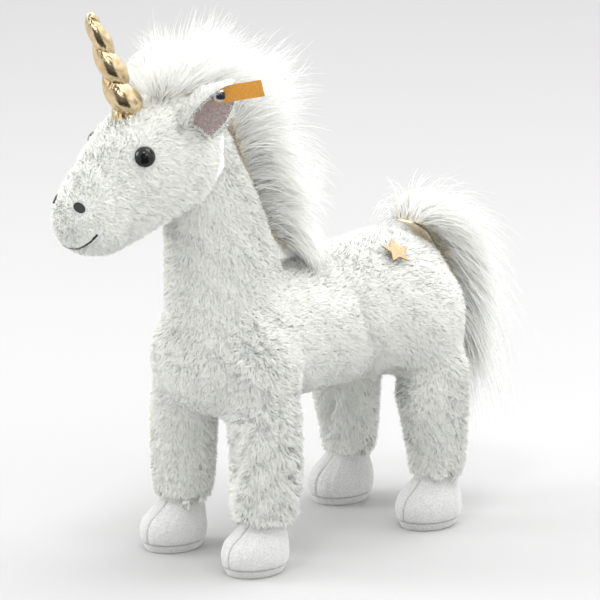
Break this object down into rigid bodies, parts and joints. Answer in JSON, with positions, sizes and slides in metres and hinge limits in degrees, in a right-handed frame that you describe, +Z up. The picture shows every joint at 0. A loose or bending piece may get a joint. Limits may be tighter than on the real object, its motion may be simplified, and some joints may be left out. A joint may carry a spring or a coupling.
{
  "type": "plush unicorn",
  "caption": "Standing plush unicorn with a wound golden horn, long-pile mane and tail, suede hooves, a star on the rump and a ribbon label riveted in the left ear.",
  "frame": {"origin": "On the floor, at the centre of the bottom of the bounding box, between the four hooves.", "axes": "+Z up, the unicorn faces -Y, and +X is its left side."},
  "size_m": [0.1166, 0.3333, 0.341],
  "materials": {
    "white_plush": "short white plush pile",
    "long_pile": "long silky white pile",
    "filling": "white fibre filling",
    "suede": "light grey-white microfibre suede",
    "velour": "short taupe velour",
    "woven_backing": "warm beige woven backing",
    "gold_foil": "pale gold foil fabric",
    "gold_thread": "fine gold thread",
    "glitter": "gold glitter fabric",
    "black_thread": "black embroidery thread",
    "eye_plastic": "glossy black",
    "washer_plastic": "plain white",
    "rivet_steel": "polished nickel",
    "ribbon": "woven amber ribbon, plain"
  },
  "bodies": {
    "torso": {"torso_cover": "white_plush", "torso_stuffing": "filling", "mane": "long_pile", "mane_backing": "woven_backing", "star_patch": "glitter"},
    "neck": {"neck_plug": "filling"},
    "head": {"head_cover": "white_plush", "head_stuffing": "filling", "horn_cover": "gold_foil", "horn_stuffing": "filling", "horn_thread": "gold_thread", "forelock": "long_pile", "left_eye": "eye_plastic", "right_eye": "eye_plastic", "left_eye_washer": "washer_plastic", "right_eye_washer": "washer_plastic", "left_nostril": "black_thread", "right_nostril": "black_thread", "mouth_stitching": "black_thread"},
    "left_ear": {"left_ear_back": "white_plush", "left_ear_lining": "velour", "ear_rivet": "rivet_steel", "rivet_washer": "rivet_steel"},
    "right_ear": {"right_ear_back": "white_plush", "right_ear_lining": "velour"},
    "label": {"ribbon_label": "ribbon"},
    "tail": {"tail_fur": "long_pile", "tail_backing": "woven_backing"},
    "front_left_leg": {"front_left_leg_cover": "white_plush", "front_left_leg_stuffing": "filling", "front_left_hoof_cover": "suede", "front_left_hoof_stuffing": "filling", "front_left_hoof_sole": "suede"},
    "front_right_leg": {"front_right_leg_cover": "white_plush", "front_right_leg_stuffing": "filling", "front_right_hoof_cover": "suede", "front_right_hoof_stuffing": "filling", "front_right_hoof_sole": "suede"},
    "hind_left_leg": {"hind_left_leg_cover": "white_plush", "hind_left_leg_stuffing": "filling", "hind_left_hoof_cover": "suede", "hind_left_hoof_stuffing": "filling", "hind_left_hoof_sole": "suede"},
    "hind_right_leg": {"hind_right_leg_cover": "white_plush", "hind_right_leg_stuffing": "filling", "hind_right_hoof_cover": "suede", "hind_right_hoof_stuffing": "filling", "hind_right_hoof_sole": "suede"}
  },
  "joints": [
    {"name": "head_turn", "type": "hinge", "parent": "torso", "child": "neck", "pos_m": [0, -0.075, 0.246], "axis": [0, 0, 1], "range_deg": [-20, 20], "stiffness_Nm_per_rad": 0.8},
    {"name": "head_nod", "type": "hinge", "parent": "neck", "child": "head", "pos_m": [0, -0.075, 0.246], "axis": [0.9848, -0.1736, 0], "range_deg": [-12, 12], "stiffness_Nm_per_rad": 2},
    {"name": "left_ear_fold", "type": "hinge", "parent": "head", "child": "left_ear", "pos_m": [0.0261, -0.09686, 0.269], "axis": [0.6087, 0.5481, -0.5736], "range_deg": [-15, 15], "stiffness_Nm_per_rad": 0.02},
    {"name": "right_ear_fold", "type": "hinge", "parent": "head", "child": "right_ear", "pos_m": [-0.032, -0.08662, 0.269], "axis": [0.3846, -0.7233, 0.5736], "range_deg": [-15, 15], "stiffness_Nm_per_rad": 0.02},
    {"name": "label_swivel", "type": "hinge", "parent": "left_ear", "child": "label", "pos_m": [0.03736, -0.09243, 0.29042], "axis": [0.5849, -0.7985, -0.1422], "range_deg": [-25, 25]},
    {"name": "tail_lift", "type": "hinge", "parent": "torso", "child": "tail", "pos_m": [0, 0.0945, 0.178], "axis": [1, 0, 0], "range_deg": [0, 45]},
    {"name": "front_left_leg_swing", "type": "hinge", "parent": "torso", "child": "front_left_leg", "pos_m": [0.033, -0.054, 0.093], "axis": [1, 0, 0], "range_deg": [-15, 15], "stiffness_Nm_per_rad": 1.2},
    {"name": "front_right_leg_swing", "type": "hinge", "parent": "torso", "child": "front_right_leg", "pos_m": [-0.033, -0.054, 0.093], "axis": [1, 0, 0], "range_deg": [-15, 15], "stiffness_Nm_per_rad": 1.2},
    {"name": "hind_left_leg_swing", "type": "hinge", "parent": "torso", "child": "hind_left_leg", "pos_m": [0.0355, 0.085, 0.093], "axis": [1, 0, 0], "range_deg": [-15, 15], "stiffness_Nm_per_rad": 1.2},
    {"name": "hind_right_leg_swing", "type": "hinge", "parent": "torso", "child": "hind_right_leg", "pos_m": [-0.0355, 0.085, 0.093], "axis": [1, 0, 0], "range_deg": [-15, 15], "stiffness_Nm_per_rad": 1.2}
  ]
}
